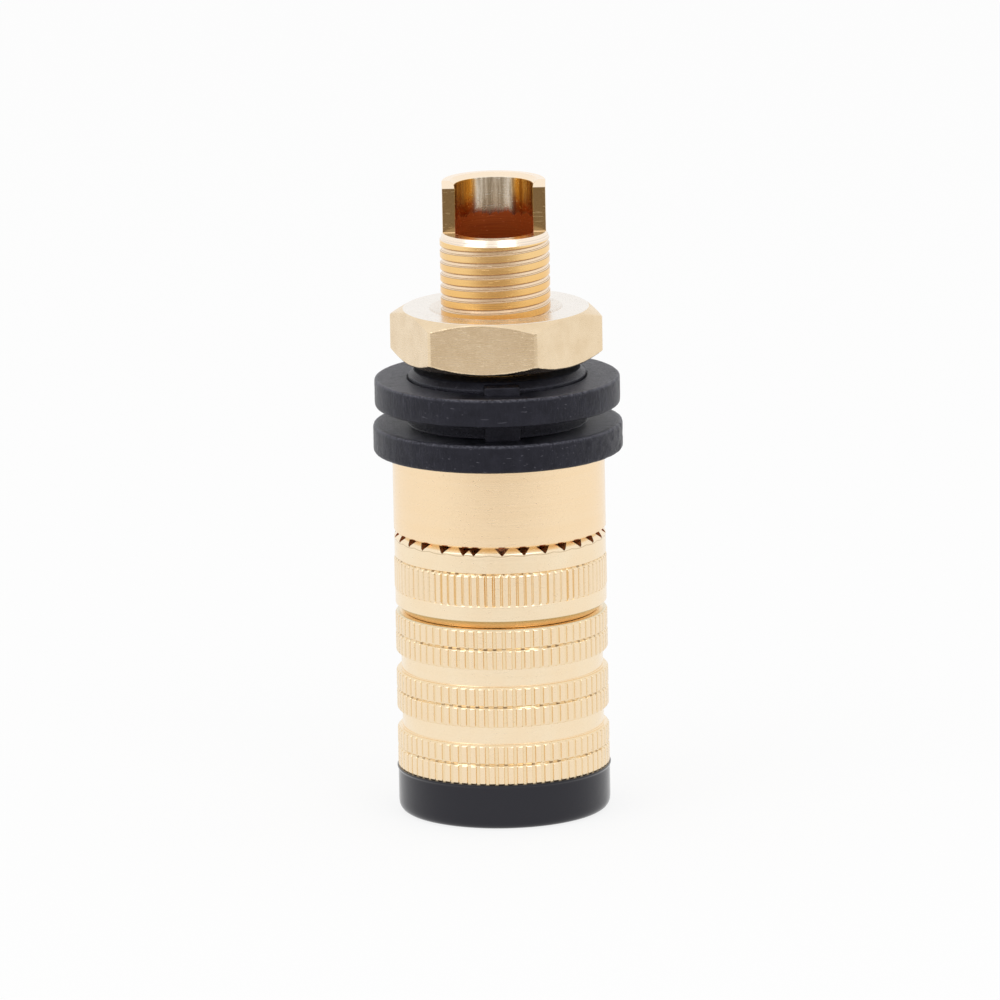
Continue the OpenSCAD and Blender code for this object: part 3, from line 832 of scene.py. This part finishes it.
def buildRing():
    p = ring
    r = bodyRadius - p["inset"]
    low = ringBottom + p["lowBand"]
    top = low + p["knurlHeight"]
    crest, root = r + p["rise"], r - p["depth"]
    rows = plainRows([(p["bore"] + 0.1, ringBottom), (r - p["lowChamfer"] - 0.04, ringBottom),
                      (r - p["lowChamfer"] + 0.02, ringBottom + 0.03),
                      (r - 0.03, ringBottom + p["lowChamfer"] - 0.04),
                      (r, ringBottom + p["lowChamfer"] + 0.03), (r, low - 0.05)])
    rows += [(r - 0.02, r - 0.02, low), (crest - 0.08, root + 0.03, low + 0.07),
             (crest, root, low + 0.2), (crest, root, top - 0.24), (crest - 0.04, root, top - 0.13),
             (r - 0.06, root, top - 0.05), (r - 0.13, r - 0.13, top + 0.03),
             (r - 0.1, r - 0.1, top + 0.07)]
    rows += plainRows([(r, top + 0.16), (r, ringTop - p["topChamfer"] - 0.03),
                       (r - 0.03, ringTop - p["topChamfer"] + 0.03),
                       (r - p["topChamfer"] + 0.03, ringTop - 0.03),
                       (r - p["topChamfer"] - 0.03, ringTop), (p["counterbore"] + 0.08, ringTop),
                       (p["counterbore"], ringTop - 0.08),
                       (p["counterbore"], ringTop - p["lipSeat"]),
                       (p["bore"], ringTop - p["lipSeat"]), (p["bore"], ringBottom + 0.1)])
    piece = knurlSector("clampRing", rows, p["teeth"], p["crest"], p["root"])
    first = math.radians(p["turn"] - 90)
    bakeTree(piece, sectorRing, {"Sectors": p["teeth"], "First angle": first, "Material": gold})
    roughenTeeth(piece, p["teeth"], first, r - 0.03, low + 0.02, top + 0.1, 11)
    cleanMesh(piece.data)
    # neighbours overlap at the counterbore, so every other notch is cut first
    for start in (0, 1):
        picked = range(start, p["notches"], 2)
        bars = meshObject("notchBars", [np.zeros(3)] * len(picked), [])
        turns = [math.radians(p["notchTurn"] - 90 + p["slips"].get(i, 0)
                              + i * 360 / p["notches"]) for i in picked]
        bars.data.attributes.new("turn", "FLOAT", "POINT").data.foreach_set("value", turns)
        bakeTree(bars, notchBars, {"Depth": p["notchDepth"] * mm, "Start": p["barStart"] * mm,
                                   "Length": p["barLength"] * mm, "Material": gold})
        bars.data.transform(Matrix.Translation((0, 0, ringTop * mm)))
        cleanMesh(bars.data)
        carve(piece, bars)
    dressPiece(piece, 24, gold)
    return piece

clampRing = buildRing()
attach(clampRing, "ring")
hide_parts("clamp_ring")
print("clamp ring:", len(clampRing.data.polygons), "faces")

def buildKnob():
    p = knob
    r = bodyRadius
    groove = r - p["grooveDepth"]
    top = ringBottom - seatGap
    crest, root = r, r - p["depth"]
    rows = plainRows([(p["bore"] + 0.2, knobBottom), (p["spigot"] - 0.1, knobBottom),
                      (p["spigot"], knobBottom + 0.1), (p["spigot"], capTop), (groove, capTop)])
    for i in range(p["bands"]):
        a = capTop + i * (p["bandHeight"] + p["grooveHeight"])
        b = a + p["bandHeight"]
        mid = (a + b) / 2
        s, d, t, e = p["split"], p["depth"], p["topEdge"], p["lowEdge"]
        if i:
            rows += plainRows([(groove, a - 0.04), (groove + 0.03, a)])
        rows += [(crest - e, min(root, crest - e), a), (crest - 0.02, root, a + e),
                 (crest, root, a + e + 0.06), (crest, root, mid - s - 0.03),
                 (crest - 0.02, root, mid - s + 0.02), (root, root, mid - s + d),
                 (crest - s + 0.02, crest - s + 0.02, mid - 0.02),
                 (crest - s + 0.02, crest - s + 0.02, mid + 0.02),
                 (root, root, mid + s - d), (crest - 0.02, root, mid + s - 0.02),
                 (crest, root, mid + s + 0.03), (crest, root, b - t - 0.03),
                 (crest - 0.02, root, b - t + 0.02), (root, root, b - t + d),
                 (crest - t, crest - t, b)]
        if i < p["bands"] - 1:
            rows += plainRows([(groove + 0.03, b), (groove, b + 0.04)])
    lip = p["sleeve"] + p["lipOut"]
    rows += plainRows([(p["sleeve"], top), (p["sleeve"], knobLipTop - p["lipHeight"]),
                       (lip - 0.1, knobLipTop - p["lipHeight"]),
                       (lip, knobLipTop - p["lipHeight"] + 0.1), (lip, knobLipTop - 0.2),
                       (lip - 0.2, knobLipTop), (p["bore"] + 0.15, knobLipTop),
                       (p["bore"], knobLipTop - 0.15), (p["bore"], knobBottom + 0.2)])
    piece = knurlSector("knurledKnob", rows, p["teeth"], p["crest"], p["root"])
    first = math.radians(p["turn"] - 90)
    bakeTree(piece, sectorRing, {"Sectors": p["teeth"], "First angle": first, "Material": gold})
    for i in range(p["bands"]):
        a = capTop + i * (p["bandHeight"] + p["grooveHeight"])
        roughenTeeth(piece, p["teeth"], first, r - 0.08, a + 0.01, a + p["bandHeight"] - 0.01,
                     21 + i)
    dressPiece(piece, 24, gold)
    return piece

knurledKnob = buildKnob()
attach(knurledKnob, "knob_and_cap")
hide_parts("knob")
print("knob:", len(knurledKnob.data.polygons), "faces")


# ---- hex nut ----

def buildNut():
    p = nut
    flat = p["acrossFlats"] / 2
    faceR = flat - p["chamferInset"]
    height = nutTop - nutBottom
    slope = math.tan(math.radians(p["chamferAngle"]))
    cornerR = flat / math.cos(math.radians(30))
    fall = (cornerR - faceR) * slope * 1.15
    # columns crowd towards the six corners
    angles = []
    for k in range(6):
        corner = math.radians(p["turn"] + 60 * k)
        for s in np.linspace(0, 1, p["sideColumns"], endpoint=False):
            share = s - 0.42 * math.sin(2 * math.pi * s) / (2 * math.pi)
            angles.append(corner + math.radians(60) * share)
    angles = np.array(sorted(a % (2 * math.pi) for a in angles))

    def sideRadius(z, a):
        # flats with a small break at each corner, cut by a cone at both ends
        local = (math.degrees(a) - p["turn"]) % 60 - 30
        blunt = (cornerR - p["cornerBreak"]) / math.cos(math.radians(30 - abs(local)))
        hexR = min(flat / math.cos(math.radians(local)), blunt)
        coneR = faceR + min(height - z, z) / slope
        mix = min(max(0.5 + 0.5 * (coneR - hexR) / p["edge"], 0), 1)
        return coneR * (1 - mix) + hexR * mix - p["edge"] * mix * (1 - mix)

    ends = np.linspace(0.02, math.pi / 2, 22)
    side = [height - fall * (1 - math.cos(t)) for t in ends]
    side += list(np.linspace(height - fall, fall, 8)[1:-1])
    side += [fall * (1 - math.cos(t)) for t in ends[::-1]]
    # rows without a radius of their own follow the side
    rows = [(p["bore"], p["sink"] / 2), (p["bore"], height - p["sink"]),
            (p["bore"] + p["sink"], height), (faceR - 0.15, height)]
    rows += [(None, z) for z in side]
    rows += [(faceR - 0.15, 0), (p["bore"] + p["sink"] / 2, 0)]
    points = []
    for fixed, z in rows:
        for a in angles:
            r = sideRadius(z, a) if fixed is None else fixed
            points.append(np.array([r * math.cos(a), r * math.sin(a), nutBottom + z]))
    piece = meshObject("hexNut", points, gridFaces(len(rows), len(angles)))
    dressPiece(piece, 20, brass)
    return piece

hexNut = buildNut()
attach(hexNut, "nut")
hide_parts("hex_nut")
print("hex nut:", len(hexNut.data.polygons), "faces")


# ---- insulators ----

def wrinkled(seed, low, high, amount):
    # pushes the skin inwards by a noise that follows the rim
    def change(radius, height, angle):
        shape = radius.shape
        depth = np.zeros(shape)
        for i in range(shape[0]):
            for j in range(shape[1]):
                x = radius[i, j] * math.cos(angle[i, j])
                y = radius[i, j] * math.sin(angle[i, j])
                at = Vector((x * 0.9 + seed, y * 0.9, height[i, j] * 1.6))
                depth[i, j] = abs(noise.noise(at)) + 0.5 * abs(noise.noise(at * 2.7))
                torn = noise.noise(Vector((x * 1.7, y * 1.7 + seed, height[i, j] * 2.2)))
                depth[i, j] += 2.2 * max(0, x / 10) * max(0, torn)
        rim = np.clip((radius - low) / (high - low), 0, 1)
        return radius - amount * depth * rim, height
    return change

def turned(x, y):
    # to the side of the post where the key is
    turn = math.radians(insulator["keyTurn"] - 90)
    return x * math.cos(turn) - y * math.sin(turn), x * math.sin(turn) + y * math.cos(turn)

def keyBar(name, low, high):
    start, reach = insulator["keyStart"], insulator["boss"] + insulator["keyOut"]
    work = bmesh.new()
    bmesh.ops.create_cube(work, size=1.0)
    for v in work.verts:
        v.co = Vector((start + (v.co.x + 0.5) * (reach - start), v.co.y * insulator["keyWidth"],
                       low + (v.co.z + 0.5) * (high - low)))
    bmesh.ops.bevel(work, geom=work.edges, offset=0.15, segments=3, affect="EDGES", profile=0.5)
    mesh = bpy.data.meshes.new(name)
    for v in work.verts:
        v.co.x, v.co.y = turned(v.co.x, v.co.y)
        v.co *= mm
    work.to_mesh(mesh)
    work.free()
    return addObject(name, mesh)

def buildBushing():
    p = insulator
    flangeR = nodeRadius("front_bushing")
    t = collarTop + p["flangeThickness"]
    bore = post["studRadius"] + p["fit"]
    points = [(bore, collarTop), (flangeR, collarTop), (flangeR, t), (p["boss"], t),
              (p["boss"], bossTop - p["bossChamfer"]), (p["boss"] - p["bossChamfer"], bossTop),
              (bore, bossTop)]
    outline = splitLong(softProfile(points, [0.05, 0.35, 0.3, 0.12, 0.12, 0.1, 0.08], 4), 0.3)
    skin = wrinkled(3.0, flangeR - p["wrinkleReach"], flangeR, p["wrinkle"])
    piece = latheObject("frontBushing", outline, p["columns"], change=skin)
    carve(piece, keyBar("bushingKey", t - 0.3, bossTop - p["bossChamfer"] / 2 + 0.15), "UNION")
    dressPiece(piece, 35, nylon)
    return piece

def buildWasher():
    p = insulator
    washerR = nodeRadius("rear_washer")
    bore = p["boss"] + p["fit"]
    points = [(bore, washerBottom), (washerR, washerBottom), (washerR, washerTop),
              (bore, washerTop)]
    outline = splitLong(softProfile(points, [0.1, 0.35, 0.28, 0.12], 4), 0.3)
    skin = wrinkled(17.0, washerR - p["wrinkleReach"], washerR, p["wrinkle"] * 0.6)
    piece = latheObject("rearWasher", outline, p["columns"], change=skin)
    start, half = p["keyStart"], p["keyWidth"] / 2 + p["fit"]
    reach = p["boss"] + p["keyOut"] + p["fit"]
    corners = [turned(x, y) for x, y in
               ((start, -half), (reach, -half), (reach, half), (start, half))]
    carve(piece, prismObject("keyway", corners, "z", washerBottom - 1, washerTop + 1))
    dressPiece(piece, 35, nylon)
    return piece

frontBushing = buildBushing()
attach(frontBushing, "terminal")
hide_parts("front_bushing")
rearWasher = buildWasher()
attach(rearWasher, "washer")
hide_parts("rear_washer")
print("insulators:", len(frontBushing.data.polygons), "and", len(rearWasher.data.polygons), "faces")


# ---- end cap ----

def buildCap():
    p = cap
    r = bodyRadius
    points = [(p["hole"] + p["holeChamfer"], capBottom), (r, capBottom),
              (r, capTop - p["lipHeight"]), (r + p["lip"], capTop - p["lipHeight"] / 2),
              (r + p["lip"], capTop), (p["inner"], capTop), (p["inner"], capBottom + p["floor"]),
              (p["hole"], capBottom + p["floor"]), (p["hole"], capBottom + p["holeChamfer"])]
    outline = softProfile(points, [0.08, 1.0, 0.1, 0.08, 0.06, 0.1, 0.2, 0.15, 0.08], 6)
    piece = latheObject("endCap", splitLong(outline, 0.4), p["columns"])
    dressPiece(piece, 35, glossy)
    return piece

endCap = buildCap()
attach(endCap, "knob_and_cap")
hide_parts("end_cap")
print("end cap:", len(endCap.data.polygons), "faces")


# ---- studio, in metres ----

# the camera sees every sheet white; reflections see its own tone
studio = {"side": 0.9, "drop": 0.00002, "white": 1.0, "shadowShare": 0.16, "dullShare": 0.8,
          "sheets": [("whiteSheet", -0.19, 1.2, (1, 1, 1)),
                     ("greySheet", -0.23, -0.19, (0.78, 0.7, 0.6)),
                     ("darkTable", -1.6, -0.23, (0.36, 0.27, 0.18))],
          "lamps": [("leftLamp", (-0.55, -0.5, 0.6), 0.7, 1.2),
                    ("rightLamp", (0.35, -0.6, 0.6), 0.5, 1.0)],
          "lampAim": (0, 0, 0.03)}
view = {"aim": (0.00006, 0, 0.0286), "distance": 1.25, "tilt": 12.2, "roll": -1.07,
        "lens": 494.7, "sensor": 36, "nearest": 0.05, "farthest": 20}

def floorSheet(name, near, far, tone):
    s = studio
    corners = [(-s["side"], near), (s["side"], near), (s["side"], far), (-s["side"], far)]
    mesh = bpy.data.meshes.new(name)
    mesh.from_pydata([(x, y, -s["drop"]) for x, y in corners], [], [(0, 1, 2, 3)])
    floor = addObject(name, mesh)
    f = Finish(name)
    ray = f.add("ShaderNodeLightPath").outputs
    seen = f.math("MAXIMUM", ray["Is Camera Ray"], ray["Is Glossy Ray"])
    seen = f.math("MAXIMUM", seen, ray["Is Transmission Ray"])
    plain = f.add("ShaderNodeBsdfDiffuse", Color=(*(s["dullShare"] * c for c in tone), 1))
    shown = f.blend(ray["Is Camera Ray"], (*tone, 1), (1, 1, 1, 1))
    glow = f.add("ShaderNodeEmission", Color=shown, Strength=s["white"])
    mix = f.add("ShaderNodeMixShader", _0=f.times(seen, 1 - s["shadowShare"]),
                _1=plain.outputs[0], _2=glow.outputs[0])
    f.link(mix.outputs[0], f.out, 0)
    mesh.materials.append(f.material)

def softWorld():
    world = bpy.data.worlds.new("studio")
    bpy.context.scene.world = world
    world.use_nodes = True
    tree = world.node_tree
    tree.nodes.clear()
    out = tree.nodes.new("ShaderNodeOutputWorld")
    room = tree.nodes.new("ShaderNodeBackground")
    room.inputs["Color"].default_value = (1, 1, 1, 1)
    tree.links.new(room.outputs[0], out.inputs[0])

def softLamp(name, place, size, power):
    lamp = bpy.data.lights.new(name, "AREA")
    lamp.shape, lamp.size, lamp.energy = "DISK", size, power
    holder = addObject(name, lamp)
    holder.location = place
    aim = Vector(studio["lampAim"]) - Vector(place)
    holder.rotation_euler = aim.to_track_quat("-Z", "Y").to_euler()

def frontCamera():
    v = view
    tilt = math.radians(v["tilt"])
    lens = bpy.data.cameras.new("camera")
    lens.lens, lens.sensor_width = v["lens"], v["sensor"]
    lens.clip_start, lens.clip_end = v["nearest"], v["farthest"]
    holder = addObject("camera", lens)
    aim = Vector(v["aim"])
    holder.location = aim + Vector((0, -math.cos(tilt), math.sin(tilt))) * v["distance"]
    turn = (aim - holder.location).to_track_quat("-Z", "Y")
    roll = Quaternion((0, 0, 1), math.radians(v["roll"]))
    holder.rotation_euler = (turn @ roll).to_euler()
    bpy.context.scene.camera = holder

for sheet in studio["sheets"]:
    floorSheet(*sheet)
softWorld()
for lamp in studio["lamps"]:
    softLamp(*lamp)
frontCamera()
bpy.context.scene.view_settings.view_transform = "Standard"
print("studio ready")
